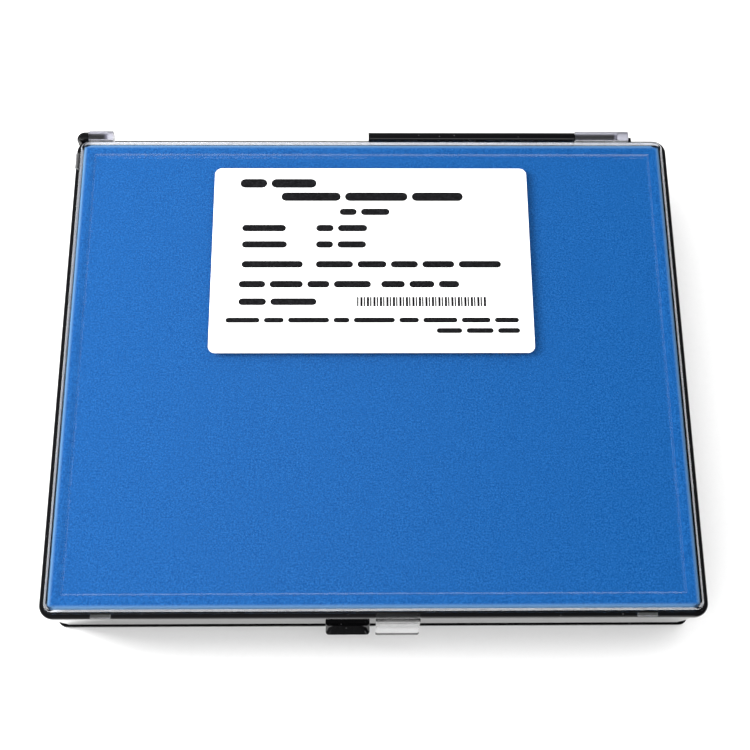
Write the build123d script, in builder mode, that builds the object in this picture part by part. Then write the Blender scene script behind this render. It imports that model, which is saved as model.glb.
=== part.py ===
from build123d import *
import os

# Hinged storage case for one large optical cell.
# Millimetres, +Z up, +X to the right and +Y to the hinge at the rear.
# The origin is the middle of the underside, below the centre of the rim.

# Outline of the case, measured over the rim of the tray
case_width = 192.0
case_depth = 155.0
corner_radius = 4.2

# Optical cell: outside sizes, its wall, and how it lies on its side
cell_length = 137.4
cell_height = 40.0
cell_width = 20.0
cell_wall = 2.5
cell_edge = 0.4

# Foam around the cell
foam_under_cell = 2.1
lid_foam_thickness = 2.0
nest_clearance = 0.3
foam_side_clearance = 0.3
pad_side_clearance = 0.1
foam_lip_clearance = 0.45
pad_cell_clearance = 0.3
pad_lid_clearance = 0.1
foam_corner_radius = 1.6
notch_radius = 11.0
notch_reach = 2.0
notch_depth = 14.0

# Black tray
floor_thickness = 1.6
wall_thickness = 1.2
wall_lean = 1.2
side_lean = 0.3
foot_height = 1.6
foot_proud = 0.45
foot_corner_radius = 2.6
underside_edge_radius = 0.5
rim_thickness = 2.2
rim_overhang = 0.5
rim_edge_radius = 0.7
inner_corner_radius = 2.4

# Clear lid
seat_gap = 0.1
lid_rise = 2.4
lid_thickness = 1.5
lid_setback = 1.7
lid_edge_radius = 1.1
flange_setback = 1.3
flange_thickness = 1.0
lip_depth = 1.7
lip_thickness = 0.8
lip_clearance = 0.2
panel_setback = 6.9
panel_recess = 0.45
panel_bevel = 0.45
wing_length = 5.5
wing_back = 5.5
wing_setback = 0.2
front_wing_width = 5.6
front_wing_place = 78.0

# Hinge: stub pins moulded on the tray turn in bores of the lid's lugs
hinge_rise = 0.75
bar_radius = 1.6
bar_clearance = 0.3
bar_start = -1.2
pin_radius = 1.0
left_pin_length = 5.2
right_pin_length = 13.0
bore_clearance = 0.06
bore_end_clearance = 0.4
lug_wall = 0.9
lug_clearance = 0.3
lug_arm_rise = 1.2
left_lug_width = 7.8
right_lug_width = 17.2
right_lug_inset = 12.5
ear_length = 3.8
ear_corner_radius = 4.5
stop_width = 0.9

# Latch at the front: a finger tab on the tray beside a hanging tab on the lid
finger_tab_width = 12.9
finger_tab_gap = 1.4
finger_tab_drop = 9.6
finger_tab_height = 1.9
finger_tab_ledge = 1.3
finger_tab_flare = 2.3
tab_corner_radius = 1.0
latch_tab_width = 12.7
latch_tab_gap = 0.3
latch_tab_thickness = 0.95
latch_tab_clearance = 0.3
latch_tab_rise = 1.7
latch_strap_drop = 9.6
latch_lip_drop = 3.2
latch_lip_flare = 1.8
latch_lip_radius = 0.6
latch_bend_radius = 0.8
catch_drop = 4.5
catch_height = 1.6
catch_proud = 0.45

# Paper label on the recessed panel
label_width = 100.0
label_depth = 63.4
label_thickness = 0.15
label_corner_radius = 2.2
label_shift_left = 0.5
label_rear_margin = 4.7

# Length by which a cut passes the face it starts from
overrun = 1.0

# Heights, stacked up from the underside through the cell to the top of the lid
cell_bottom = floor_thickness + foam_under_cell
cell_top = cell_bottom + cell_width
pad_bottom = cell_top + pad_cell_clearance
pad_top = pad_bottom + lid_foam_thickness
panel_underside = pad_top + pad_lid_clearance
panel_top = panel_underside + lid_thickness
border_top = panel_top + panel_recess
border_underside = border_top - lid_thickness
rim_top = border_top - lid_rise
rim_underside = rim_top - rim_thickness
lip_bottom = rim_top - lip_depth
flange_underside = rim_top + seat_gap
foam_top = lip_bottom - foam_lip_clearance

# Widths and depths of each outline, worked in from the rim
wall_width = case_width - 2 * rim_overhang
wall_depth = case_depth - 2 * rim_overhang
wall_corner = corner_radius - rim_overhang
underside_width = wall_width - 2 * side_lean
underside_depth = wall_depth - 2 * wall_lean
foot_width = underside_width + 2 * foot_proud
foot_depth = underside_depth + 2 * foot_proud
hollow_width = wall_width - 2 * wall_thickness
hollow_depth = wall_depth - 2 * wall_thickness
hollow_floor_width = hollow_width - 2 * side_lean
hollow_floor_depth = hollow_depth - 2 * wall_lean
flange_width = case_width - 2 * flange_setback
flange_depth = case_depth - 2 * flange_setback
flange_corner = corner_radius - flange_setback
lid_width = case_width - 2 * lid_setback
lid_depth = case_depth - 2 * lid_setback
lid_corner = corner_radius - lid_setback
lip_width = hollow_width - 2 * lip_clearance
lip_length = hollow_depth - 2 * lip_clearance
lid_hollow_width = lip_width - 2 * lip_thickness
lid_hollow_depth = lip_length - 2 * lip_thickness
lip_corner = inner_corner_radius - lip_clearance
lid_hollow_corner = lip_corner - lip_thickness
lid_wall_middle = (lid_depth + lid_hollow_depth) / 4
panel_width = case_width - 2 * panel_setback
panel_depth = case_depth - 2 * panel_setback
front = -case_depth / 2
rear = case_depth / 2
left = -case_width / 2
right = case_width / 2

# Hinge axis, level along X behind the rim
hinge_y = rear - flange_setback + bar_clearance + bar_radius
hinge_z = rim_top + hinge_rise
bore_radius = pin_radius + bore_clearance
lug_radius = bore_radius + lug_wall
right_lug_end = right - right_lug_inset
right_lug_start = right_lug_end - right_lug_width
bar_end = right_lug_start - lug_clearance
ear_end = left + ear_length
left_lug_start = ear_end + lug_clearance
left_lug_end = left_lug_start + left_lug_width
stop_start = right_lug_end + lug_clearance
left_bore_length = left_pin_length + lug_clearance + bore_end_clearance
right_bore_length = right_pin_length + lug_clearance + bore_end_clearance


def side_plane(x):
    """Plane across the case at x, with its own x to the rear and its own y up."""
    return Plane(origin=(x, 0, 0), x_dir=(0, 1, 0), z_dir=(1, 0, 0))


def stop_section(x):
    """Section of the tray's low end stop, which rises from the rim to the hinge axis."""
    with BuildSketch(side_plane(x)) as section:
        with Locations((hinge_y - bar_radius, rim_underside)):
            Rectangle(bar_radius, hinge_z - rim_underside, align=(Align.MIN, Align.MIN))
    return section.sketch


def hinge_section(x):
    """Section of the tray's hinge bar: a round back on a web that stands on the rim."""
    with BuildSketch(side_plane(x)) as section:
        with Locations((hinge_y, hinge_z)):
            Circle(bar_radius)
        with Locations((hinge_y - bar_radius, rim_underside)):
            Rectangle(bar_radius, hinge_z - rim_underside, align=(Align.MIN, Align.MIN))
    return section.sketch


def hinge_circle(x, radius):
    """Circle about the hinge axis at x."""
    with BuildSketch(side_plane(x)) as circle:
        with Locations((hinge_y, hinge_z)):
            Circle(radius)
    return circle.sketch


def lug_section(x):
    """Section of a lid lug: a round barrel and the arm that joins it to the lid's rear wall."""
    arm_bottom = rim_top + lug_clearance
    with BuildSketch(side_plane(x)) as section:
        with Locations((hinge_y, hinge_z)):
            Circle(lug_radius)
        with Locations((lid_wall_middle, arm_bottom)):
            arm_height = hinge_z + lug_arm_rise - arm_bottom
            Rectangle(hinge_y - lid_wall_middle, arm_height, align=(Align.MIN, Align.MIN))
    return section.sketch


# Corner ear of the tray: a stretch of the hinge bar, rounded in plan like the corner below it
with BuildPart() as corner_ear:
    extrude(hinge_section(left), amount=ear_length)
    with BuildSketch(Plane.XY.offset(rim_underside)):
        RectangleRounded(case_width, 2 * (hinge_y + bar_radius), ear_corner_radius)
    extrude(amount=hinge_z + bar_radius - rim_underside, mode=Mode.INTERSECT)

# Finger tab of the tray: a ledge that flares towards its lower edge
wall_front = -wall_depth / 2
tab_top = rim_top - finger_tab_drop
tab_bottom = tab_top - finger_tab_height
tab_root = wall_front + wall_thickness
tab_middle = -finger_tab_gap - finger_tab_width / 2
ledge_front = wall_front - finger_tab_ledge
flare_front = ledge_front - finger_tab_flare

with BuildPart() as finger_tab:
    with BuildSketch(Plane((tab_middle, (tab_root + ledge_front) / 2, tab_top))):
        RectangleRounded(finger_tab_width, tab_root - ledge_front, tab_corner_radius)
    with BuildSketch(Plane((tab_middle, (tab_root + flare_front) / 2, tab_bottom))):
        RectangleRounded(finger_tab_width, tab_root - flare_front, tab_corner_radius)
    loft(ruled=True)

# Black tray
catch_top = rim_top - catch_drop
catch_bottom = catch_top - catch_height
bite_radius = lug_radius + lug_clearance
left_bite_length = left_lug_end + lug_clearance - ear_end
right_bite_length = stop_start - bar_end

with BuildPart() as base:
    with BuildSketch():
        RectangleRounded(underside_width, underside_depth, wall_corner)
    with BuildSketch(Plane.XY.offset(rim_underside)):
        RectangleRounded(wall_width, wall_depth, wall_corner)
    loft(ruled=True)
    with BuildSketch():
        RectangleRounded(foot_width, foot_depth, foot_corner_radius)
    extrude(amount=foot_height)
    fillet(base.edges().group_by(Axis.Z)[0], underside_edge_radius)
    with BuildSketch(Plane.XY.offset(rim_underside)):
        RectangleRounded(case_width, case_depth, corner_radius)
    extrude(amount=rim_thickness)
    fillet(base.edges().group_by(Axis.Z)[-1], rim_edge_radius)

    # Hollow, with the same lean as the walls
    with BuildSketch(Plane.XY.offset(floor_thickness)):
        RectangleRounded(hollow_floor_width, hollow_floor_depth, inner_corner_radius)
    with BuildSketch(Plane.XY.offset(rim_top + overrun)):
        RectangleRounded(hollow_width, hollow_depth, inner_corner_radius)
    loft(ruled=True, mode=Mode.SUBTRACT)

    # Bites in the rear rim where the lid's lugs turn
    extrude(hinge_circle(ear_end, bite_radius), amount=left_bite_length, mode=Mode.SUBTRACT)
    extrude(hinge_circle(bar_end, bite_radius), amount=right_bite_length, mode=Mode.SUBTRACT)

    # Hinge bar, corner ear and low end stop, then the stub pins on the bar and the ear
    extrude(hinge_section(bar_start), amount=bar_end - bar_start)
    add(corner_ear.part)
    extrude(stop_section(stop_start), amount=stop_width)
    extrude(hinge_circle(bar_end, pin_radius), amount=right_pin_length)
    extrude(hinge_circle(ear_end, pin_radius), amount=left_pin_length)

    # Finger tab, and the low ramp that the latch tab snaps over
    add(finger_tab.part)
    with BuildSketch(side_plane(latch_tab_gap)):
        with BuildLine():
            Polyline(
                (tab_root, catch_top),
                (wall_front, catch_top),
                (wall_front - catch_proud, catch_bottom),
                (tab_root, catch_bottom),
                close=True,
            )
        make_face()
    extrude(amount=latch_tab_width)

base.part.label = "base"

# Latch tab of the lid: an arm over the rim, a strap down its front and a flared lip
strap_inner = front - latch_tab_clearance
strap_outer = strap_inner - latch_tab_thickness
strap_bottom = rim_top - latch_strap_drop
lip_end = strap_bottom - latch_lip_drop
arm_top = rim_top + latch_tab_rise
arm_underside = rim_top + latch_tab_clearance

with BuildPart() as latch_tab:
    with BuildSketch(side_plane(latch_tab_gap)):
        with BuildLine():
            Polyline(
                (-lid_wall_middle, arm_top),
                (strap_outer, arm_top),
                (strap_outer, strap_bottom),
                (strap_outer - latch_lip_flare, lip_end),
                (strap_inner - latch_lip_flare, lip_end),
                (strap_inner, strap_bottom),
                (strap_inner, arm_underside),
                (-lid_wall_middle, arm_underside),
                close=True,
            )
        make_face()
    extrude(amount=latch_tab_width)
    fillet(latch_tab.edges().filter_by(Axis.X).group_by(Axis.Z)[-1].sort_by(Axis.Y)[0], latch_bend_radius)
    fillet(latch_tab.edges().filter_by(Axis.Y).group_by(Axis.Z)[0], latch_lip_radius)

# Clear lid
panel_mouth_width = panel_width + 2 * panel_bevel
panel_mouth_depth = panel_depth + 2 * panel_bevel

with BuildPart() as lid:
    with BuildSketch(Plane.XY.offset(flange_underside)):
        RectangleRounded(lid_width, lid_depth, lid_corner)
    extrude(amount=border_top - flange_underside)
    fillet(lid.edges().group_by(Axis.Z)[-1], lid_edge_radius)
    with BuildSketch(Plane.XY.offset(flange_underside)):
        RectangleRounded(flange_width, flange_depth, flange_corner)
    extrude(amount=flange_thickness)
    with BuildSketch(Plane.XY.offset(lip_bottom)):
        RectangleRounded(lip_width, lip_length, lip_corner)
    extrude(amount=flange_underside - lip_bottom)

    # Hollow up to the panel, and further up under the border around it
    with BuildSketch(Plane.XY.offset(lip_bottom)):
        RectangleRounded(lid_hollow_width, lid_hollow_depth, lid_hollow_corner)
    extrude(amount=panel_underside - lip_bottom, mode=Mode.SUBTRACT)
    with BuildSketch(Plane.XY.offset(panel_underside)):
        RectangleRounded(lid_hollow_width, lid_hollow_depth, lid_hollow_corner)
        Rectangle(panel_mouth_width, panel_mouth_depth, mode=Mode.SUBTRACT)
    extrude(amount=border_underside - panel_underside, mode=Mode.SUBTRACT)

    # Recessed panel with bevelled, mitred sides
    with BuildSketch(Plane.XY.offset(panel_top)):
        Rectangle(panel_width, panel_depth)
    with BuildSketch(Plane.XY.offset(border_top)):
        Rectangle(panel_mouth_width, panel_mouth_depth)
    loft(ruled=True, mode=Mode.SUBTRACT)

    # Short wing of the flange that covers the rim near the left rear corner
    with BuildSketch(Plane((left + wing_setback, rear - wing_back, flange_underside))):
        Rectangle(lid_setback, wing_length, align=(Align.MIN, Align.MAX))
    extrude(amount=flange_thickness)

    # Two short wings of the flange over the front rim
    with BuildSketch(Plane((0, front + wing_setback, flange_underside))):
        with Locations((-front_wing_place, 0), (front_wing_place, 0)):
            Rectangle(front_wing_width, lid_setback, align=(Align.CENTER, Align.MIN))
    extrude(amount=flange_thickness)

    # Hinge lugs with their blind bores, and the latch tab
    extrude(lug_section(left_lug_start), amount=left_lug_width)
    extrude(lug_section(right_lug_start), amount=right_lug_width)
    extrude(hinge_circle(left_lug_start, bore_radius), amount=left_bore_length, mode=Mode.SUBTRACT)
    extrude(hinge_circle(right_lug_start, bore_radius), amount=right_bore_length, mode=Mode.SUBTRACT)
    add(latch_tab.part)

lid.part.label = "lid"

# Foam pad inside the lid
pad_width = lid_hollow_width - 2 * pad_side_clearance
pad_depth = lid_hollow_depth - 2 * pad_side_clearance

with BuildPart() as lid_foam:
    with BuildSketch(Plane.XY.offset(pad_bottom)):
        RectangleRounded(pad_width, pad_depth, foam_corner_radius)
    extrude(amount=lid_foam_thickness)

lid_foam.part.label = "lid_foam"

# Foam block in the tray, cut to its lean, with the nest for the cell and a finger notch on each side
block_width = hollow_floor_width - 2 * foam_side_clearance
block_depth = hollow_floor_depth - 2 * foam_side_clearance
block_share = (foam_top - floor_thickness) / (rim_top + overrun - floor_thickness)
block_flare = 2 * wall_lean * block_share
block_side_flare = 2 * side_lean * block_share
nest_length = cell_length + 2 * nest_clearance
nest_width = cell_height + 2 * nest_clearance

with BuildPart() as base_foam:
    with BuildSketch(Plane.XY.offset(floor_thickness)):
        RectangleRounded(block_width, block_depth, foam_corner_radius)
    with BuildSketch(Plane.XY.offset(foam_top)):
        RectangleRounded(block_width + block_side_flare, block_depth + block_flare, foam_corner_radius)
    loft(ruled=True)
    with BuildSketch(Plane.XY.offset(foam_top)):
        Rectangle(nest_length, nest_width)
    extrude(amount=cell_bottom - foam_top, mode=Mode.SUBTRACT)
    with BuildSketch(Plane.XY.offset(foam_top)):
        with GridLocations(0, nest_width + 2 * notch_reach, 1, 2):
            Circle(notch_radius)
    extrude(amount=-notch_depth, mode=Mode.SUBTRACT)

base_foam.part.label = "base_foam"

# Optical cell, on its side with its open top towards the front
cell_mouth = Plane((0, -cell_height / 2, cell_bottom + cell_width / 2), x_dir=(1, 0, 0), z_dir=(0, 1, 0))

with BuildPart() as cuvette:
    with BuildSketch(Plane.XY.offset(cell_bottom)):
        Rectangle(cell_length, cell_height)
    extrude(amount=cell_width)
    chamfer(cuvette.edges(), cell_edge)
    with BuildSketch(cell_mouth):
        Rectangle(cell_length - 2 * cell_wall, cell_width - 2 * cell_wall)
    extrude(amount=cell_height - cell_wall, mode=Mode.SUBTRACT)

cuvette.part.label = "cuvette"

# Paper label on the panel
label_y = panel_depth / 2 - label_rear_margin - label_depth / 2

with BuildPart() as label:
    with BuildSketch(Plane((-label_shift_left, label_y, panel_top))):
        RectangleRounded(label_width, label_depth, label_corner_radius)
    extrude(amount=label_thickness)

label.part.label = "label"

os.makedirs("parts", exist_ok=True)
for piece in (base, lid, lid_foam, base_foam, cuvette, label):
    export_step(piece.part, f"parts/{piece.part.label}.step")
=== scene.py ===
"""Finishes and studio for a hinged cuvette storage case.

Black moulded tray, clear recessed lid, blue foam lining, paper label and a quartz cell.
Everything is in metres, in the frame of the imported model.
"""

import math

import bmesh
import bpy
from bpy.props import FloatProperty, FloatVectorProperty, IntProperty, PointerProperty
from mathutils import Matrix, Vector, noise


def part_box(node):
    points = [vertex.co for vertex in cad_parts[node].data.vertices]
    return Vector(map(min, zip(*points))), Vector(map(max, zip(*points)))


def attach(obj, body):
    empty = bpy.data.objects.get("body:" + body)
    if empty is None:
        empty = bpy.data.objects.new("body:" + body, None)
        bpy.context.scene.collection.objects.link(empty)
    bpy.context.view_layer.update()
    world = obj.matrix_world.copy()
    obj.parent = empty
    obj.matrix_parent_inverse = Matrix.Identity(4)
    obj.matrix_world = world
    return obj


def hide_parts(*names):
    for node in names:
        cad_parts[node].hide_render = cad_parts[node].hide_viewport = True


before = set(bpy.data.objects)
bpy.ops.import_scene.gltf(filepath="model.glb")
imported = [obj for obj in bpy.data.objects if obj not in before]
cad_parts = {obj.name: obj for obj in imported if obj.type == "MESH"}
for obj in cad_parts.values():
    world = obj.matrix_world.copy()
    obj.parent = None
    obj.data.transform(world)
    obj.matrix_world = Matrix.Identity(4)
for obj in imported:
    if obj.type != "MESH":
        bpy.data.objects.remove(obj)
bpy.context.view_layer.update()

bl_info = {
    "name": "Cuvette Case",
    "version": (1, 0, 0),
    "blender": (4, 5, 0),
    "location": "View3D > Sidebar > Cuvette Case",
    "description": "Finishes a hinged cuvette storage case and sets up its studio",
    "category": "Object",
}

LABEL_LOW, LABEL_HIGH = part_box("label")
PAD_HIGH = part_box("lid_foam")[1]
MM = 0.001

POLYSTYRENE_IOR = 1.59
QUARTZ_IOR = 1.46
WHITE = (1.0, 1.0, 1.0, 1.0)

# Widths over which masks on the lid rise, the second for the painted shade in the lugs
MASK_EDGE = 0.1 * MM
LUG_SHADE_EDGE = 0.3 * MM

# Foam: how much of a squared edge's own inset is closed, and the heights it starts from and reaches
SQUARED_SHARE = 0.7
SQUARED_FROM = 0.5
SQUARED_TO = 0.99

# Speckle: middle of the noise, where pits and tips are full, and its slow clouding
GRAIN_MIDDLE = 0.50
GRAIN_PIT = 0.38
GRAIN_TIP = 0.62
CLOUD_SCALE = 0.04
CLOUD_FROM = 0.35
CLOUD_TO = 0.75
CLOUD_STRENGTH = 0.3

# Moulded faces: scale of each noise, and the range of it that shows
MOTTLE_SCALE = 180.0
MOTTLE_RANGE = (0.45, 0.8)
SCRATCH_SCALE = 1400.0
SCRATCH_RANGE = (0.64, 0.74)
SCRATCH_TURN = (0.0, 0.0, 0.6)
SCRATCH_STRETCH = (1.0, 0.05, 1.0)
FLOW_SCALE = 40.0
SPECK_SCALE = 420.0
SPECK_RANGE = (0.10, 0.05)

# Key light and camera
KEY_PLACE = (-0.46, 0.12, 0.38)
KEY_SIZE = 0.3
SENSOR_WIDTH = 36.0
CLIP_START = 0.01

# Soft dome: its brightest direction, and how far along it the light changes
BRIGHT_SIDE = (-0.72, 0.64, 0.25)
DOME_REACH = 0.9

# What gloss mirrors: where each part starts and is full, along a direction's x, y or z
OVERHEAD_X = (-0.15, 0.30)
HORIZON_Z = (0.15, 0.02)
REAR_Y = (0.70, 0.90)
REAR_Z = (0.32, 0.12)
FRONT_Y = (-0.55, -0.75)
FRONT_LOW_Z = (0.40, 0.46)
FRONT_HIGH_Z = (0.68, 0.60)
FRONT_SPREAD = (0.38, 0.28)
FRONT_X = (-0.30, 0.20)
FRONT_DIM_SHARE = 0.4

# Print on the label: each row is its start and end across the label, its middle down the label,
# the height of its bars, all as shares of the label's width or depth, and its number of bars
PRINT_ROW_SHARES = (
    (0.082, 0.326, 0.085, 0.050, 2),
    (0.214, 0.794, 0.160, 0.048, 3),
    (0.400, 0.559, 0.245, 0.036, 2),
    (0.092, 0.231, 0.335, 0.036, 1),
    (0.326, 0.488, 0.335, 0.036, 2),
    (0.093, 0.235, 0.425, 0.036, 1),
    (0.326, 0.484, 0.425, 0.036, 2),
    (0.094, 0.286, 0.533, 0.036, 1),
    (0.326, 0.907, 0.533, 0.036, 5),
    (0.087, 0.499, 0.640, 0.036, 4),
    (0.530, 0.774, 0.640, 0.036, 3),
    (0.088, 0.330, 0.733, 0.036, 2),
    (0.050, 0.955, 0.830, 0.026, 9),
    (0.700, 0.957, 0.885, 0.026, 3),
)
# Block of thin upright bars beside the last short row
BAR_BLOCK_SHARES = (0.455, 0.858, 0.733, 0.050)
BAR_BLOCK_COUNT = 40
# Widths of the block's thin bars as a share of their pitch, and what every second one adds
THIN_BAR_SHARE = 0.50
THIN_BAR_EXTRA = 0.25
# How uneven the bars of a row are, and the step of the wave that makes them so
BAR_UNEVENNESS = 0.45
BAR_WAVE_STEP = 2.4


class CaseColours(bpy.types.PropertyGroup):
    """Colours of the case's materials."""

    black_plastic: FloatVectorProperty(
        name="Black plastic", description="Moulded tray", subtype="COLOR",
        size=3, min=0.0, max=1.0, default=(0.0025, 0.0025, 0.003),
    )
    dust: FloatVectorProperty(
        name="Dust", description="Specks on the tray", subtype="COLOR",
        size=3, min=0.0, max=1.0, default=(0.05, 0.05, 0.052),
    )
    clear_plastic: FloatVectorProperty(
        name="Clear plastic", description="Tint of the moulded lid", subtype="COLOR",
        size=3, min=0.0, max=1.0, default=(0.985, 0.99, 0.995),
    )
    # Painted shade: a much darker tint in the lugs and wings at the lid's rear, for the dark refractions
    # seen through these thick clear parts.
    lug: FloatVectorProperty(
        name="Lugs", description="Deeper tint of the lid's thick hinge lugs", subtype="COLOR",
        size=3, min=0.0, max=1.0, default=(0.36, 0.36, 0.42),
    )
    foam: FloatVectorProperty(
        name="Foam", description="Ground colour of the foam", subtype="COLOR",
        size=3, min=0.0, max=1.0, default=(0.0066, 0.0735, 0.249),
    )
    foam_pit: FloatVectorProperty(
        name="Foam pits", description="Colour in the open cells", subtype="COLOR",
        size=3, min=0.0, max=1.0, default=(0.0025, 0.0500, 0.193),
    )
    foam_tip: FloatVectorProperty(
        name="Foam tips", description="Colour of the cut cell walls", subtype="COLOR",
        size=3, min=0.0, max=1.0, default=(0.0145, 0.1040, 0.311),
    )
    # Painted light: a lighter colour along the foam's sides that lightens the shade at their edges.
    foam_painted_light: FloatVectorProperty(
        name="Foam sides", description="Lighter colour along the cut sides", subtype="COLOR",
        size=3, min=0.0, max=1.0, default=(0.092, 0.190, 0.335),
    )
    # Painted highlight: the white skin under the lid's lip stands in for the bright band along the clear
    # lid's edges.
    painted_lip_highlight: FloatVectorProperty(
        name="Ground lip", description="Ground face under the lid's lip", subtype="COLOR",
        size=3, min=0.0, max=1.0, default=(0.86, 0.86, 0.89),
    )
    paper: FloatVectorProperty(
        name="Paper", description="Label stock", subtype="COLOR",
        size=3, min=0.0, max=1.0, default=(0.93, 0.93, 0.925),
    )
    ink: FloatVectorProperty(
        name="Ink", description="Print on the label", subtype="COLOR",
        size=3, min=0.0, max=1.0, default=(0.006, 0.006, 0.007),
    )
    quartz: FloatVectorProperty(
        name="Quartz", description="Tint of the cell", subtype="COLOR",
        size=3, min=0.0, max=1.0, default=(0.985, 0.992, 0.995),
    )
    floor: FloatVectorProperty(
        name="Floor", description="Pale studio floor", subtype="COLOR",
        size=3, min=0.0, max=1.0, default=(0.90, 0.90, 0.90),
    )


class FoamSettings(bpy.types.PropertyGroup):
    """Surface of the cut foam."""

    voxel: FloatProperty(
        name="Mesh pitch", description="Pitch of the foam's mesh", unit="LENGTH",
        default=0.9 * MM, min=0.6 * MM, precision=5,
    )
    grain: FloatProperty(
        name="Grain", description="Size of the foam's cells", unit="LENGTH",
        default=0.50 * MM, min=0.2 * MM, precision=5,
    )
    grain_height: FloatProperty(
        name="Grain height", description="Relief of the grain", unit="LENGTH",
        default=0.05 * MM, min=0.0, precision=5,
    )
    edge_wave: FloatProperty(
        name="Edge wave", description="How far hand-cut sides wander", unit="LENGTH",
        default=0.10 * MM, min=0.0, precision=5,
    )
    edge_wave_length: FloatProperty(
        name="Edge wave length", description="Length of one wander", unit="LENGTH",
        default=28.0 * MM, min=1.0 * MM, precision=5,
    )
    # Reach of the painted light along the foam's sides.
    painted_light_width: FloatProperty(
        name="Side width", description="Reach of the lighter colour from a cut side", unit="LENGTH",
        default=1.3 * MM, min=0.1 * MM, precision=5,
    )
    swell: FloatProperty(
        name="Swell", description="Rise of the lid's pad into the hollow under the border", unit="LENGTH",
        default=0.40 * MM, min=0.0, precision=5,
    )
    swell_start: FloatProperty(
        name="Swell start", description="Distance from the pad's sides where the rise starts", unit="LENGTH",
        default=3.4 * MM, precision=5,
    )
    swell_full: FloatProperty(
        name="Swell full", description="Distance from the pad's sides where the rise is full", unit="LENGTH",
        default=2.6 * MM, precision=5,
    )
    edge_reach: FloatProperty(
        name="Edge reach", description="How near its sides the lid's pad is pressed square", unit="LENGTH",
        default=0.9 * MM, min=0.0, precision=5,
    )
    soften: IntProperty(
        name="Soften", description="Smoothing passes on cut edges", default=1, min=0, max=20,
    )


class LidSettings(bpy.types.PropertyGroup):
    """White skin under the clear lid's lip, a painted highlight for the bright band along the lid's edges,
    and the places where the lid is duller.
    """

    pad_clearance: FloatProperty(
        name="Pad clearance", description="Space between the pad and the lip", unit="LENGTH",
        default=0.1 * MM, min=0.0, precision=5,
    )
    # Down to the corner steps: the size of the white skin under the lip, a painted highlight for the bright
    # band along the clear lid's edges.
    lip_width: FloatProperty(
        name="Lip width", description="Thickness of the lip, ground whole at front and rear", unit="LENGTH",
        default=0.8 * MM, min=0.1 * MM, precision=5,
    )
    side_lip_width: FloatProperty(
        name="Side lip width", description="Width that is ground along the lip's left and right sides",
        unit="LENGTH", default=0.4 * MM, min=0.1 * MM, precision=5,
    )
    lip_height: FloatProperty(
        name="Lip height", description="Underside of the lip", unit="LENGTH",
        default=23.95 * MM, precision=5,
    )
    lip_corner: FloatProperty(
        name="Lip corner", description="Outer corner radius of the lip", unit="LENGTH",
        default=2.2 * MM, min=1.0 * MM, precision=5,
    )
    skin: FloatProperty(
        name="Skin", description="Thickness of the ground skin", unit="LENGTH",
        default=0.03 * MM, min=0.005 * MM, precision=6,
    )
    skin_gap: FloatProperty(
        name="Skin gap", description="Space between the lip and its skin", unit="LENGTH",
        default=0.005 * MM, min=0.0, precision=6,
    )
    corner_steps: IntProperty(
        name="Corner steps", description="Points on each corner of the lip", default=8, min=2, max=24,
    )
    panel_inset: FloatProperty(
        name="Panel inset", description="How far inside the pad's sides the recessed panel ends",
        unit="LENGTH", default=4.1 * MM, precision=5,
    )
    bevel_width: FloatProperty(
        name="Bevel width", description="Width of the bevel around the recessed panel", unit="LENGTH",
        default=0.45 * MM, min=0.1 * MM, precision=5,
    )
    bevel_roughness: FloatProperty(
        name="Bevel roughness", description="Surface of the bevel around the panel", default=0.2,
        min=0.0, max=1.0,
    )
    fittings_start: FloatProperty(
        name="Fittings start", description="How far outside the pad the lugs, wings and latch begin",
        unit="LENGTH", default=1.65 * MM, precision=5,
    )
    fittings_roughness: FloatProperty(
        name="Fittings roughness", description="Surface of the lugs and wings", default=0.35,
        min=0.0, max=1.0,
    )
    latch_roughness: FloatProperty(
        name="Latch roughness", description="Surface of the latch", default=0.10, min=0.0, max=1.0,
    )
    latch_reach: FloatProperty(
        name="Latch reach", description="Distance from the middle within which the latch lies",
        unit="LENGTH", default=20.0 * MM, precision=5,
    )


class PrintSettings(bpy.types.PropertyGroup):
    """Bars printed on the label."""

    ink_thickness: FloatProperty(
        name="Ink thickness", description="Height of the ink on the paper", unit="LENGTH",
        default=0.012 * MM, min=0.002 * MM, precision=6,
    )
    gap: FloatProperty(
        name="Gap", description="Space between bars of one row", unit="LENGTH",
        default=1.3 * MM, min=0.1 * MM, precision=5,
    )
    corner_steps: IntProperty(
        name="Corner steps", description="Points on each rounded bar end", default=6, min=2, max=24,
    )


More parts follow.
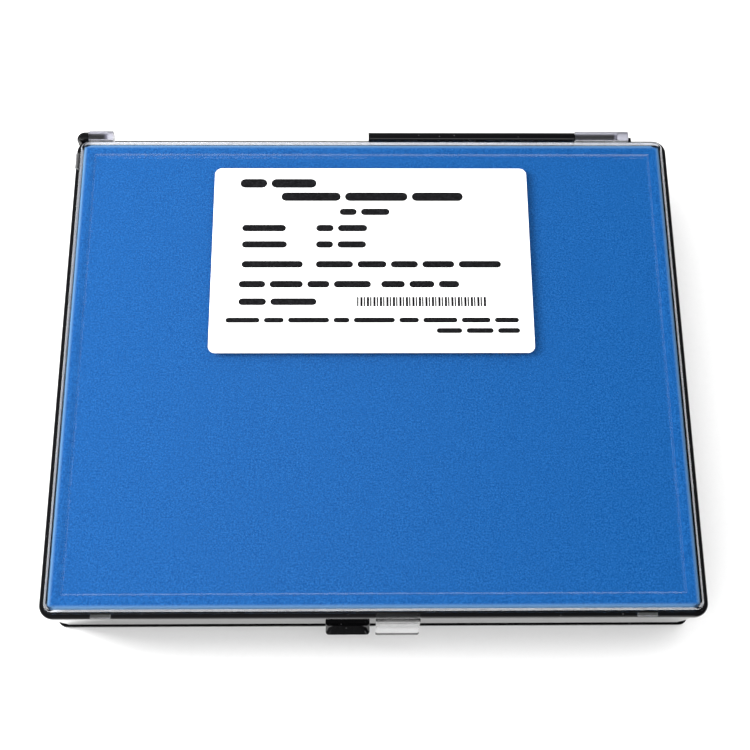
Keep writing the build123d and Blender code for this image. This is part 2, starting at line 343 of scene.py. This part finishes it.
class StageSettings(bpy.types.PropertyGroup):
    """Camera, floor and lights."""

    camera_place: FloatVectorProperty(
        name="Camera place", description="Where the camera stands", subtype="TRANSLATION", unit="LENGTH",
        size=3, default=(-4.65 * MM, -130.25 * MM, 382.46 * MM), precision=5,
    )
    camera_pitch: FloatProperty(
        name="Camera pitch", description="How far it looks down", subtype="ANGLE",
        default=math.radians(70.49),
    )
    camera_yaw: FloatProperty(
        name="Camera yaw", description="How far it turns to the right", subtype="ANGLE",
        default=math.radians(2.325),
    )
    camera_roll: FloatProperty(
        name="Camera roll", description="How far it leans to the left", subtype="ANGLE",
        default=math.radians(2.12),
    )
    lens: FloatProperty(
        name="Lens", description="Focal length in millimetres on a 36 mm wide sensor", default=59.56,
    )
    floor_size: FloatProperty(
        name="Floor size", description="Side of the floor", unit="LENGTH", default=8.0,
    )
    key_power: FloatProperty(
        name="Key power", description="Soft light at the left", unit="POWER", default=5.0,
    )
    dome_front: FloatProperty(
        name="Dome front", description="Soft light from the front right", default=0.95,
    )
    dome_rear: FloatProperty(
        name="Dome rear", description="Soft light from the rear left", default=1.9,
    )
    mirrored_low: FloatProperty(
        name="Mirrored low", description="What gloss mirrors near the floor", default=2.0,
    )
    mirrored_left: FloatProperty(
        name="Mirrored left", description="What gloss mirrors overhead to the left", default=0.12,
    )
    mirrored_right: FloatProperty(
        name="Mirrored right", description="What gloss mirrors overhead to the right", default=0.02,
    )
    mirrored_front: FloatProperty(
        name="Mirrored front", description="Bright band that gloss mirrors in front", default=2.0,
    )


class CaseSettings(bpy.types.PropertyGroup):
    """All settings of the case."""

    colours: PointerProperty(type=CaseColours)
    foam: PointerProperty(type=FoamSettings)
    lid: PointerProperty(type=LidSettings)
    label_print: PointerProperty(type=PrintSettings)
    stage: PointerProperty(type=StageSettings)


def settings():
    """The settings held by the scene."""
    return bpy.context.scene.cuvette_case


def rgba(colour):
    """A colour property as the four values that a socket takes."""
    return (*colour, 1.0)


# Node helpers

def add_node(tree, kind, values=None, links=None, **options):
    """A new node with its options, its socket values and its incoming links set."""
    made = tree.nodes.new(kind)
    for name, value in options.items():
        setattr(made, name, value)
    for name, value in (values or {}).items():
        made.inputs[name].default_value = value
    for name, source in (links or {}).items():
        tree.links.new(source, made.inputs[name])
    return made


def new_group(name, inputs, outputs):
    """A shader node group with named sockets, and the nodes at its two ends."""
    group = bpy.data.node_groups.new(name, "ShaderNodeTree")
    for label, kind, default in inputs:
        socket = group.interface.new_socket(name=label, in_out="INPUT", socket_type=kind)
        if default is not None:
            socket.default_value = default
    for label, kind in outputs:
        group.interface.new_socket(name=label, in_out="OUTPUT", socket_type=kind)
    return group, group.nodes.new("NodeGroupInput"), group.nodes.new("NodeGroupOutput")


def mix_colours(tree, factor, first, second):
    """Output socket of a colour mix, where each colour is a socket or a fixed colour."""
    mix = tree.nodes.new("ShaderNodeMix")
    mix.data_type = "RGBA"
    sockets = {socket.identifier: socket for socket in mix.inputs}
    tree.links.new(factor, sockets["Factor_Float"])
    for source, name in ((first, "A_Color"), (second, "B_Color")):
        if isinstance(source, bpy.types.NodeSocket):
            tree.links.new(source, sockets[name])
        else:
            sockets[name].default_value = rgba(source)
    return next(s for s in mix.outputs if s.identifier == "Result_Color")


def combine(tree, operation, first, *others):
    """Output socket of one maths operation run along several sockets."""
    for other in others:
        first = add_node(tree, "ShaderNodeMath", {}, {0: first, 1: other}, operation=operation).outputs[0]
    return first


def ramp(tree, source, low, high, to_low=0.0, to_high=1.0):
    """Output socket of a clamped, smooth map of a value from low..high to to_low..to_high."""
    made = add_node(
        tree, "ShaderNodeMapRange",
        {"From Min": low, "From Max": high, "To Min": to_low, "To Max": to_high},
        {"Value": source}, interpolation_type="SMOOTHSTEP",
    )
    return made.outputs["Result"]


def fine_grain_group():
    """Speckle of a ground colour with darker pits and lighter tips, slow clouding, and its height."""
    group, start, end = new_group(
        "Fine Grain",
        (
            ("Vector", "NodeSocketVector", None),
            ("Scale", "NodeSocketFloat", 1000.0),
            ("Ground", "NodeSocketColor", (0.5, 0.5, 0.5, 1.0)),
            ("Pit", "NodeSocketColor", (0.3, 0.3, 0.3, 1.0)),
            ("Tip", "NodeSocketColor", (0.7, 0.7, 0.7, 1.0)),
        ),
        (("Color", "NodeSocketColor"), ("Height", "NodeSocketFloat")),
    )
    cells = add_node(group, "ShaderNodeTexNoise", {"Detail": 3.0, "Roughness": 0.7},
                     {"Vector": start.outputs["Vector"], "Scale": start.outputs["Scale"]})
    pores = add_node(group, "ShaderNodeTexVoronoi", {"Randomness": 1.0},
                     {"Vector": start.outputs["Vector"], "Scale": start.outputs["Scale"]})
    slow_scale = add_node(group, "ShaderNodeMath", {1: CLOUD_SCALE}, {0: start.outputs["Scale"]},
                          operation="MULTIPLY")
    clouds = add_node(group, "ShaderNodeTexNoise", {"Detail": 2.0},
                      {"Vector": start.outputs["Vector"], "Scale": slow_scale.outputs[0]})
    pit_mask = ramp(group, cells.outputs["Fac"], GRAIN_MIDDLE, GRAIN_PIT)
    tip_mask = ramp(group, cells.outputs["Fac"], GRAIN_MIDDLE, GRAIN_TIP)
    cloud_mask = ramp(group, clouds.outputs["Fac"], CLOUD_FROM, CLOUD_TO, 0.0, CLOUD_STRENGTH)
    pitted = mix_colours(group, pit_mask, start.outputs["Ground"], start.outputs["Pit"])
    tipped = mix_colours(group, tip_mask, pitted, start.outputs["Tip"])
    clouded = mix_colours(group, cloud_mask, tipped, start.outputs["Ground"])
    group.links.new(clouded, end.inputs["Color"])
    height = combine(group, "ADD", cells.outputs["Fac"], pores.outputs["Distance"])
    group.links.new(height, end.inputs["Height"])
    return group


def moulded_surface_group():
    """Roughness of a moulded or polished face with faint scuffs, and the slow wave of its flow."""
    group, start, end = new_group(
        "Moulded Surface",
        (
            ("Vector", "NodeSocketVector", None),
            ("Clean", "NodeSocketFloat", 0.05),
            ("Scuffed", "NodeSocketFloat", 0.2),
        ),
        (("Roughness", "NodeSocketFloat"), ("Height", "NodeSocketFloat"), ("Dust", "NodeSocketFloat")),
    )
    mottle = add_node(group, "ShaderNodeTexNoise", {"Scale": MOTTLE_SCALE, "Detail": 4.0},
                      {"Vector": start.outputs["Vector"]})
    drawn = add_node(group, "ShaderNodeMapping", {"Rotation": SCRATCH_TURN, "Scale": SCRATCH_STRETCH},
                     {"Vector": start.outputs["Vector"]})
    scratches = add_node(group, "ShaderNodeTexNoise", {"Scale": SCRATCH_SCALE, "Detail": 1.0},
                         {"Vector": drawn.outputs["Vector"]})
    flow = add_node(group, "ShaderNodeTexNoise", {"Scale": FLOW_SCALE, "Detail": 1.0},
                    {"Vector": start.outputs["Vector"]})
    specks = add_node(group, "ShaderNodeTexVoronoi", {"Scale": SPECK_SCALE},
                      {"Vector": start.outputs["Vector"]})
    scuff = combine(group, "MAXIMUM", ramp(group, mottle.outputs["Fac"], *MOTTLE_RANGE),
                    ramp(group, scratches.outputs["Fac"], *SCRATCH_RANGE))
    blend = add_node(group, "ShaderNodeMapRange", {}, {
        "Value": scuff, "To Min": start.outputs["Clean"], "To Max": start.outputs["Scuffed"],
    })
    group.links.new(blend.outputs["Result"], end.inputs["Roughness"])
    group.links.new(flow.outputs["Fac"], end.inputs["Height"])
    group.links.new(ramp(group, specks.outputs["Distance"], *SPECK_RANGE), end.inputs["Dust"])
    return group


def shared_group(name):
    """One of the two shared node groups, built when it is first used."""
    builders = {"Fine Grain": fine_grain_group, "Moulded Surface": moulded_surface_group}
    return bpy.data.node_groups.get(name) or builders[name]()


def new_material(name):
    """A cleared material with its principled shader, output and object coordinates."""
    material = bpy.data.materials.new(name)
    material.use_nodes = True
    tree = material.node_tree
    tree.nodes.clear()
    shader = tree.nodes.new("ShaderNodeBsdfPrincipled")
    output = tree.nodes.new("ShaderNodeOutputMaterial")
    tree.links.new(shader.outputs["BSDF"], output.inputs["Surface"])
    place = tree.nodes.new("ShaderNodeTexCoord").outputs["Object"]
    return material, tree, shader, place


def add_bump(tree, shader, height, strength, distance):
    """Bump on the shader from a height socket."""
    bump = add_node(tree, "ShaderNodeBump", {"Strength": strength, "Distance": distance}, {"Height": height})
    tree.links.new(bump.outputs["Normal"], shader.inputs["Normal"])


def let_light_through(tree, shader, tint):
    """Shadow and diffuse rays pass a clear material straight, so that what lies under it is lit."""
    output = next(n for n in tree.nodes if n.type == "OUTPUT_MATERIAL")
    path = tree.nodes.new("ShaderNodeLightPath")
    straight = combine(tree, "MAXIMUM", path.outputs["Is Shadow Ray"], path.outputs["Is Diffuse Ray"])
    clear = add_node(tree, "ShaderNodeBsdfTransparent", {"Color": rgba(tint)})
    mix = add_node(tree, "ShaderNodeMixShader", {}, {"Fac": straight})
    tree.links.new(shader.outputs["BSDF"], mix.inputs[1])
    tree.links.new(clear.outputs["BSDF"], mix.inputs[2])
    tree.links.new(mix.outputs["Shader"], output.inputs["Surface"])


def moulded_surface(tree, shader, place, clean, scuffed, wave=None):
    """The shared moulded surface on a shader, and its dust mask."""
    surface = add_node(tree, "ShaderNodeGroup", node_tree=shared_group("Moulded Surface"))
    surface.inputs["Clean"].default_value = clean
    surface.inputs["Scuffed"].default_value = scuffed
    tree.links.new(place, surface.inputs["Vector"])
    tree.links.new(surface.outputs["Roughness"], shader.inputs["Roughness"])
    if wave is not None:
        add_bump(tree, shader, surface.outputs["Height"], strength=1.0, distance=wave)
    return surface.outputs["Dust"]


def grain(tree, shader, place, size, ground, pit, tip):
    """The shared fine grain on a shader's colour, and its height."""
    speckle = add_node(tree, "ShaderNodeGroup", node_tree=shared_group("Fine Grain"))
    speckle.inputs["Scale"].default_value = 1.0 / size
    for name, colour in (("Ground", ground), ("Pit", pit), ("Tip", tip)):
        speckle.inputs[name].default_value = rgba(colour)
    tree.links.new(place, speckle.inputs["Vector"])
    tree.links.new(speckle.outputs["Color"], shader.inputs["Base Color"])
    return speckle.outputs["Height"]


def side_mask(tree, place, start, end):
    """Mask that rises between two distances, measured outwards from the upright sides of the lid's pad."""
    axes = add_node(tree, "ShaderNodeSeparateXYZ", {}, {"Vector": place})
    masks = []
    for axis, reach in (("X", PAD_HIGH.x), ("Y", PAD_HIGH.y)):
        span = add_node(tree, "ShaderNodeMath", {}, {0: axes.outputs[axis]}, operation="ABSOLUTE")
        masks.append(ramp(tree, span.outputs[0], reach + start, reach + end))
    return combine(tree, "MAXIMUM", *masks)


# Materials

def black_plastic_material():
    """Glossy moulded black polystyrene with a trace of dust."""
    material, tree, shader, place = new_material("tray_black")
    shader.inputs["IOR"].default_value = POLYSTYRENE_IOR
    dust = moulded_surface(tree, shader, place, clean=0.015, scuffed=0.05, wave=0.004 * MM)
    colours = settings().colours
    colour = mix_colours(tree, dust, colours.black_plastic, colours.dust)
    tree.links.new(colour, shader.inputs["Base Color"])
    return material


def clear_plastic_material():
    """Clear moulded polystyrene, duller on its bevel and fittings, with painted shade, a much darker tint,
    in the lugs and wings at the rear.
    """
    material, tree, shader, place = new_material("lid_clear")
    tint = settings().colours.clear_plastic
    lid = settings().lid
    axes = add_node(tree, "ShaderNodeSeparateXYZ", {}, {"Vector": place})
    # Painted shade: the lugs and wings behind the pad take the darker lug colour, for the dark refractions
    # seen through them.
    start = PAD_HIGH.y + lid.fittings_start
    behind = ramp(tree, axes.outputs["Y"], start, start + LUG_SHADE_EDGE)
    colour = mix_colours(tree, behind, tint, settings().colours.lug)
    tree.links.new(colour, shader.inputs["Base Color"])
    shader.inputs["Transmission Weight"].default_value = 1.0
    shader.inputs["IOR"].default_value = POLYSTYRENE_IOR
    moulded_surface(tree, shader, place, clean=0.0, scuffed=0.02, wave=0.0002 * MM)
    roughness = shader.inputs["Roughness"].links[0].from_socket
    past_panel, past_bevel, past_border = (
        side_mask(tree, place, edge - MASK_EDGE / 2, edge + MASK_EDGE / 2)
        for edge in (-lid.panel_inset, lid.bevel_width - lid.panel_inset, lid.fittings_start)
    )
    bevel = combine(tree, "SUBTRACT", past_panel, past_bevel)
    bevelled = add_node(tree, "ShaderNodeMapRange", {"To Max": lid.bevel_roughness},
                        {"Value": bevel, "To Min": roughness})
    spread = add_node(tree, "ShaderNodeMath", {}, {0: axes.outputs["X"]}, operation="ABSOLUTE")
    handled = ramp(tree, spread.outputs[0], lid.latch_reach, 2 * lid.latch_reach, lid.latch_roughness,
                   lid.fittings_roughness)
    fitted = add_node(tree, "ShaderNodeMapRange", {}, {
        "Value": past_border, "To Min": bevelled.outputs["Result"], "To Max": handled,
    })
    tree.links.new(fitted.outputs["Result"], shader.inputs["Roughness"])
    let_light_through(tree, shader, tint)
    return material


def foam_material():
    """Fine open-cell blue foam, with painted light along its sides that lightens the shade at their edges.
    """
    material, tree, shader, place = new_material("foam_blue")
    colours, foam = settings().colours, settings().foam
    shader.inputs["Roughness"].default_value = 0.95
    shader.inputs["Specular IOR Level"].default_value = 0.0
    height = grain(tree, shader, place, foam.grain, colours.foam, colours.foam_pit, colours.foam_tip)
    speckled = shader.inputs["Base Color"].links[0].from_socket
    # Painted light along the foam's sides, which lightens the shade at their edges.
    colour = mix_colours(tree, side_mask(tree, place, -foam.painted_light_width, 0.0), speckled, colours.foam_painted_light)
    tree.links.new(colour, shader.inputs["Base Color"])
    add_bump(tree, shader, height, strength=0.6, distance=3 * foam.grain_height)
    return material


def painted_lip_highlight_material():
    """Whitish matt skin under the lid's lip, a painted highlight for the bright band along the clear lid's
    edges.
    """
    material, tree, shader, place = new_material("painted_lip_highlight")
    white = Vector(settings().colours.painted_lip_highlight)
    # Painted highlight: a white matt colour for the bright edges of the clear lid.
    shader.inputs["Roughness"].default_value = 0.9
    height = grain(tree, shader, place, size=0.6 * MM, ground=white, pit=0.85 * white, tip=1.08 * white)
    add_bump(tree, shader, height, strength=0.3, distance=0.02 * MM)
    return material


def paper_material():
    """Satin white label stock with a faint fibre."""
    material, tree, shader, place = new_material("label_paper")
    white = Vector(settings().colours.paper)
    shader.inputs["Roughness"].default_value = 0.55
    height = grain(tree, shader, place, size=0.9 * MM, ground=white, pit=0.97 * white, tip=white)
    add_bump(tree, shader, height, strength=0.15, distance=0.02 * MM)
    return material


def ink_material():
    """Dense black print."""
    material, tree, shader, place = new_material("label_ink")
    black = Vector(settings().colours.ink)
    shader.inputs["Roughness"].default_value = 0.5
    shader.inputs["Specular IOR Level"].default_value = 0.15
    grain(tree, shader, place, size=0.5 * MM, ground=black, pit=2.2 * black, tip=0.6 * black)
    return material


def quartz_material():
    """Polished clear quartz."""
    material, tree, shader, place = new_material("cell_quartz")
    tint = settings().colours.quartz
    shader.inputs["Base Color"].default_value = rgba(tint)
    shader.inputs["Transmission Weight"].default_value = 1.0
    shader.inputs["IOR"].default_value = QUARTZ_IOR
    moulded_surface(tree, shader, place, clean=0.0, scuffed=0.04)
    let_light_through(tree, shader, tint)
    return material


def floor_material():
    """Plain matt white floor."""
    material, tree, shader, place = new_material("pale_floor")
    pale = Vector(settings().colours.floor)
    shader.inputs["Roughness"].default_value = 0.8
    grain(tree, shader, place, size=2.0 * MM, ground=pale, pit=0.99 * pale, tip=pale)
    return material


def put_on(piece, material):
    """The material as the piece's only one."""
    piece.data.materials.clear()
    piece.data.materials.append(material)


# Meshes

def link_mesh(name, mesh):
    """A new object in the scene that holds the mesh."""
    piece = bpy.data.objects.new(name, mesh)
    bpy.context.scene.collection.objects.link(piece)
    return piece


def fit_to_box(mesh, low, high):
    """Stretches a mesh a little along each axis, so that it fills a box again."""
    for axis in range(3):
        values = [v.co[axis] for v in mesh.vertices]
        start = min(values)
        stretch = (high[axis] - low[axis]) / (max(values) - start)
        for vertex in mesh.vertices:
            vertex.co[axis] = low[axis] + (vertex.co[axis] - start) * stretch


def swell_sides(mesh):
    """Presses the upper edges of the lid's pad square and lifts them where the lid has room for it."""
    foam = settings().foam
    low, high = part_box("lid_foam")
    for vertex in mesh.vertices:
        insets = [high[axis] - abs(vertex.co[axis]) for axis in (0, 1)]
        height = (vertex.co.z - low.z) / (high.z - low.z)
        if min(insets) < foam.edge_reach and height > SQUARED_FROM:
            height = max(height, SQUARED_TO)
            for axis, inset in enumerate(insets):
                if inset < foam.edge_reach / 2:
                    vertex.co[axis] += math.copysign(SQUARED_SHARE * inset, vertex.co[axis])
        share = (foam.swell_start - min(insets)) / (foam.swell_start - foam.swell_full)
        share = min(max(share, 0.0), 1.0)
        lift = foam.swell * share * share * (3.0 - 2.0 * share)
        vertex.co.z = low.z + height * (high.z - low.z + lift)


def cut_foam(name, node, material):
    """A foam piece in its solid's place, with softened cut edges, wandering sides and a grainy skin."""
    foam = settings().foam
    source = link_mesh(name + "_blank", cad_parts[node].data.copy())
    remesh = source.modifiers.new("Fine mesh", "REMESH")
    remesh.mode = "VOXEL"
    remesh.voxel_size = foam.voxel
    soften = source.modifiers.new("Soft edges", "SMOOTH")
    soften.iterations = foam.soften
    evaluated = source.evaluated_get(bpy.context.evaluated_depsgraph_get())
    mesh = bpy.data.meshes.new_from_object(evaluated)
    mesh.name = name
    bpy.data.objects.remove(source)
    normals = [Vector(v.normal) for v in mesh.vertices]
    for vertex, normal in zip(mesh.vertices, normals):
        wander = noise.noise(vertex.co / foam.edge_wave_length) * (1.0 - abs(normal.z)) - 0.5
        speckle = noise.noise(vertex.co / (2 * foam.voxel)) - 1.0
        vertex.co += normal * (foam.edge_wave * wander + foam.grain_height * speckle)
    fit_to_box(mesh, *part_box(node))
    if node == "lid_foam":
        swell_sides(mesh)
    mesh.shade_smooth()
    piece = link_mesh(name, mesh)
    put_on(piece, material)
    return piece


def rounded_bar(drawing, left, right, low, high, z, thickness, steps):
    """Adds a flat bar with round ends, standing thickness proud of z, to a bmesh."""
    radius = (high - low) / 2
    middle = (low + high) / 2
    ends = ((right - radius, -math.pi / 2), (left + radius, math.pi / 2))
    outline = []
    for x, start in ends:
        for step in range(steps + 1):
            turn = start + math.pi * step / steps
            outline.append((x + radius * math.cos(turn), middle + radius * math.sin(turn)))
    add_prism(drawing, outline, z, thickness)


def add_prism(drawing, outline, z, thickness):
    """Adds a closed prism on an outline to a bmesh."""
    lower = [drawing.verts.new((x, y, z)) for x, y in outline]
    upper = [drawing.verts.new((x, y, z + thickness)) for x, y in outline]
    drawing.faces.new(upper)
    drawing.faces.new(list(reversed(lower)))
    count = len(outline)
    for i in range(count):
        j = (i + 1) % count
        drawing.faces.new((lower[i], lower[j], upper[j], upper[i]))


def rounded_outline(half_x, half_y, radius, steps):
    """Points of a rounded rectangle about the middle of the case, corner by corner."""
    points = []
    for quarter, (side_x, side_y) in enumerate(((1, 1), (-1, 1), (-1, -1), (1, -1))):
        for step in range(steps + 1):
            turn = (quarter + step / steps) * math.pi / 2
            points.append((
                side_x * (half_x - radius) + radius * math.cos(turn),
                side_y * (half_y - radius) + radius * math.sin(turn),
            ))
    return points


def add_ring(drawing, outer, inner, z, thickness):
    """Adds a closed flat ring between two outlines of as many points to a bmesh."""
    loops = []
    for outline, height in ((outer, z), (outer, z + thickness), (inner, z + thickness), (inner, z)):
        loops.append([drawing.verts.new((x, y, height)) for x, y in outline])
    count = len(outer)
    for first, second in zip(loops, loops[1:] + loops[:1]):
        for i in range(count):
            j = (i + 1) % count
            drawing.faces.new((first[i], first[j], second[j], second[i]))


def painted_lip_highlight_mesh():
    """Thin white skin under the lid's lip, a painted highlight for the bright band along the clear lid's
    edges.
    """
    lid = settings().lid
    inner_x = PAD_HIGH.x + lid.pad_clearance
    inner_y = PAD_HIGH.y + lid.pad_clearance
    width, corner, steps = lid.lip_width, lid.lip_corner, lid.corner_steps
    outer = rounded_outline(inner_x + lid.side_lip_width, inner_y + width, corner, steps)
    inner = rounded_outline(inner_x, inner_y, corner - width, steps)
    drawing = bmesh.new()
    add_ring(drawing, outer, inner, lid.lip_height - lid.skin_gap - lid.skin, lid.skin)
    mesh = bpy.data.meshes.new("painted_lip_highlight")
    drawing.to_mesh(mesh)
    drawing.free()
    return mesh


def bar_widths(total, count, gap):
    """Widths of a row's bars, uneven but the same each run, that fill the row with its gaps."""
    waves = [math.sin(BAR_WAVE_STEP * (i + 1) * count) for i in range(count)]
    weights = [1.0 + BAR_UNEVENNESS * wave for wave in waves]
    room = total - gap * (count - 1)
    return [room * weight / sum(weights) for weight in weights]


def label_print_mesh():
    """Rows of plain bars and one block of thin upright bars, on the label's face."""
    printing = settings().label_print
    width = LABEL_HIGH.x - LABEL_LOW.x
    depth = LABEL_HIGH.y - LABEL_LOW.y
    drawing = bmesh.new()
    for start, end, down, tall, count in PRINT_ROW_SHARES:
        x = LABEL_LOW.x + start * width
        middle = LABEL_HIGH.y - down * depth
        half = tall * depth / 2
        for bar in bar_widths((end - start) * width, count, printing.gap):
            rounded_bar(drawing, x, x + bar, middle - half, middle + half, LABEL_HIGH.z,
                        printing.ink_thickness, printing.corner_steps)
            x += bar + printing.gap
    start, end, down, tall = BAR_BLOCK_SHARES
    pitch = (end - start) * width / BAR_BLOCK_COUNT
    low = LABEL_HIGH.y - (down + tall / 2) * depth
    high = LABEL_HIGH.y - (down - tall / 2) * depth
    for i in range(BAR_BLOCK_COUNT):
        left = LABEL_LOW.x + start * width + i * pitch
        right = left + pitch * (THIN_BAR_SHARE + THIN_BAR_EXTRA * (i % 2))
        add_prism(drawing, ((left, low), (right, low), (right, high), (left, high)), LABEL_HIGH.z,
                  printing.ink_thickness)
    mesh = bpy.data.meshes.new("label_print")
    drawing.to_mesh(mesh)
    drawing.free()
    return mesh


# Stage

def camera_matrix(stage):
    """Camera to world matrix from its place, pitch, yaw and roll."""
    forward = Vector((
        math.sin(stage.camera_yaw) * math.cos(stage.camera_pitch),
        math.cos(stage.camera_yaw) * math.cos(stage.camera_pitch),
        -math.sin(stage.camera_pitch),
    ))
    level = Vector((math.cos(stage.camera_yaw), -math.sin(stage.camera_yaw), 0.0))
    upright = level.cross(forward)
    right = math.cos(stage.camera_roll) * level + math.sin(stage.camera_roll) * upright
    up = math.cos(stage.camera_roll) * upright - math.sin(stage.camera_roll) * level
    turn = Matrix((right, up, -forward)).transposed()
    return Matrix.Translation(stage.camera_place) @ turn.to_4x4()


def add_soft_light(name, place, size, power):
    """A square area light that faces the middle of the case and that gloss doesn't mirror."""
    light = bpy.data.lights.new(name, "AREA")
    light.shape = "SQUARE"
    light.size = size
    light.energy = power
    lamp = bpy.data.objects.new(name, light)
    lamp.visible_glossy = False
    lamp.visible_transmission = False
    lamp.location = place
    lamp.rotation_mode = "QUATERNION"
    lamp.rotation_quaternion = (-Vector(place)).to_track_quat("-Z", "Y")
    bpy.context.scene.collection.objects.link(lamp)


def set_surroundings(stage):
    """White dome of soft light, with dim surroundings above the floor for gloss to mirror."""
    world = bpy.data.worlds.new("studio")
    world.use_nodes = True
    tree = world.node_tree
    tree.nodes.clear()
    direction = tree.nodes.new("ShaderNodeTexCoord")
    toward = add_node(tree, "ShaderNodeVectorMath", {1: BRIGHT_SIDE},
                      {0: direction.outputs["Generated"]}, operation="DOT_PRODUCT")
    axes = add_node(tree, "ShaderNodeSeparateXYZ", {}, {"Vector": direction.outputs["Generated"]})
    soft = ramp(tree, toward.outputs["Value"], -DOME_REACH, DOME_REACH, stage.dome_front, stage.dome_rear)
    x, y, z = (axes.outputs[axis] for axis in "XYZ")
    spread = add_node(tree, "ShaderNodeMath", {}, {0: x}, operation="ABSOLUTE").outputs[0]
    overhead = ramp(tree, x, *OVERHEAD_X, stage.mirrored_left, stage.mirrored_right)
    horizon = ramp(tree, z, *HORIZON_Z, 0.0, stage.mirrored_low)
    rear = combine(tree, "MULTIPLY", ramp(tree, y, *REAR_Y),
                   ramp(tree, z, *REAR_Z, 0.0, stage.mirrored_low))
    front = combine(
        tree, "MULTIPLY",
        ramp(tree, y, *FRONT_Y),
        ramp(tree, z, *FRONT_LOW_Z),
        ramp(tree, z, *FRONT_HIGH_Z),
        ramp(tree, spread, *FRONT_SPREAD),
        ramp(tree, x, *FRONT_X, FRONT_DIM_SHARE * stage.mirrored_front, stage.mirrored_front),
    )
    mirrored = combine(tree, "ADD", overhead, horizon, rear, front)
    path = tree.nodes.new("ShaderNodeLightPath")
    blend = add_node(tree, "ShaderNodeMapRange", {}, {
        "Value": path.outputs["Is Glossy Ray"], "To Min": soft, "To Max": mirrored,
    })
    background = add_node(tree, "ShaderNodeBackground", {"Color": WHITE},
                          {"Strength": blend.outputs["Result"]})
    output = tree.nodes.new("ShaderNodeOutputWorld")
    tree.links.new(background.outputs["Background"], output.inputs["Surface"])
    bpy.context.scene.world = world


# Operators

class CASE_OT_tray(bpy.types.Operator):
    """Give the tray its glossy black plastic"""

    bl_idname = "cuvette_case.tray"
    bl_label = "Finish Tray"

    def execute(self, context):
        put_on(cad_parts["base"], black_plastic_material())
        return {"FINISHED"}


class CASE_OT_lid(bpy.types.Operator):
    """Give the lid its clear plastic and the white skin under its lip, a painted highlight"""

    bl_idname = "cuvette_case.lid"
    bl_label = "Finish Lid"

    def execute(self, context):
        put_on(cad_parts["lid"], clear_plastic_material())
        # Painted highlight: a white skin under the lip for the bright band along the clear lid's edges.
        lip = link_mesh("painted_lip_highlight", painted_lip_highlight_mesh())
        put_on(lip, painted_lip_highlight_material())
        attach(lip, "cover")
        return {"FINISHED"}


class CASE_OT_foam(bpy.types.Operator):
    """Build the pad in the lid and the block in the tray from cut blue foam"""

    bl_idname = "cuvette_case.foam"
    bl_label = "Build Foam"

    def execute(self, context):
        material = foam_material()
        for name, node, body in (
            ("lid_foam_pad", "lid_foam", "cover"),
            ("tray_foam_block", "base_foam", "tray"),
        ):
            piece = cut_foam(name, node, material)
            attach(piece, body)
            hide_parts(node)
        return {"FINISHED"}


class CASE_OT_label(bpy.types.Operator):
    """Give the label its paper and print plain bars on it"""

    bl_idname = "cuvette_case.label"
    bl_label = "Print Label"

    def execute(self, context):
        put_on(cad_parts["label"], paper_material())
        piece = link_mesh("label_print", label_print_mesh())
        put_on(piece, ink_material())
        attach(piece, "cover")
        return {"FINISHED"}


class CASE_OT_cell(bpy.types.Operator):
    """Give the cell its quartz"""

    bl_idname = "cuvette_case.cell"
    bl_label = "Finish Cell"

    def execute(self, context):
        put_on(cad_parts["cuvette"], quartz_material())
        return {"FINISHED"}


class CASE_OT_stage(bpy.types.Operator):
    """Add the floor, the soft lights, the surroundings and the camera"""

    bl_idname = "cuvette_case.stage"
    bl_label = "Build Stage"

    def execute(self, context):
        stage = settings().stage
        scene = context.scene
        half = stage.floor_size / 2
        mesh = bpy.data.meshes.new("floor")
        corners = ((-half, -half, 0), (half, -half, 0), (half, half, 0), (-half, half, 0))
        mesh.from_pydata(corners, (), ((0, 1, 2, 3),))
        floor = link_mesh("floor", mesh)
        put_on(floor, floor_material())
        add_soft_light("key_light", KEY_PLACE, KEY_SIZE, stage.key_power)
        set_surroundings(stage)
        scene.view_settings.view_transform = "Standard"
        camera = bpy.data.cameras.new("photo_camera")
        camera.sensor_width = SENSOR_WIDTH
        camera.lens = stage.lens
        camera.clip_start = CLIP_START
        holder = bpy.data.objects.new("photo_camera", camera)
        holder.matrix_world = camera_matrix(stage)
        scene.collection.objects.link(holder)
        scene.camera = holder
        return {"FINISHED"}


class CASE_PT_panel(bpy.types.Panel):
    """Settings and steps of the case"""

    bl_idname = "CASE_PT_panel"
    bl_label = "Cuvette Case"
    bl_space_type = "VIEW_3D"
    bl_region_type = "UI"
    bl_category = "Cuvette Case"

    def draw(self, context):
        case = context.scene.cuvette_case
        for group in (case.colours, case.foam, case.lid, case.label_print, case.stage):
            box = self.layout.box()
            for name in group.bl_rna.properties.keys():
                if name not in ("rna_type", "name"):
                    box.prop(group, name)
        for operator in OPERATORS:
            self.layout.operator(operator.bl_idname)


OPERATORS = (CASE_OT_tray, CASE_OT_lid, CASE_OT_foam, CASE_OT_label, CASE_OT_cell, CASE_OT_stage)
GROUPS = (CaseColours, FoamSettings, LidSettings, PrintSettings, StageSettings, CaseSettings)
CLASSES = (*GROUPS, *OPERATORS, CASE_PT_panel)


def register():
    for each in CLASSES:
        bpy.utils.register_class(each)
    bpy.types.Scene.cuvette_case = PointerProperty(type=CaseSettings)


def unregister():
    del bpy.types.Scene.cuvette_case
    for each in reversed(CLASSES):
        bpy.utils.unregister_class(each)


def main():
    """Builds everything in order."""
    register()
    bpy.ops.cuvette_case.tray()
    bpy.ops.cuvette_case.lid()
    bpy.ops.cuvette_case.foam()
    bpy.ops.cuvette_case.label()
    bpy.ops.cuvette_case.cell()
    bpy.ops.cuvette_case.stage()


if __name__ == "__main__":
    main()
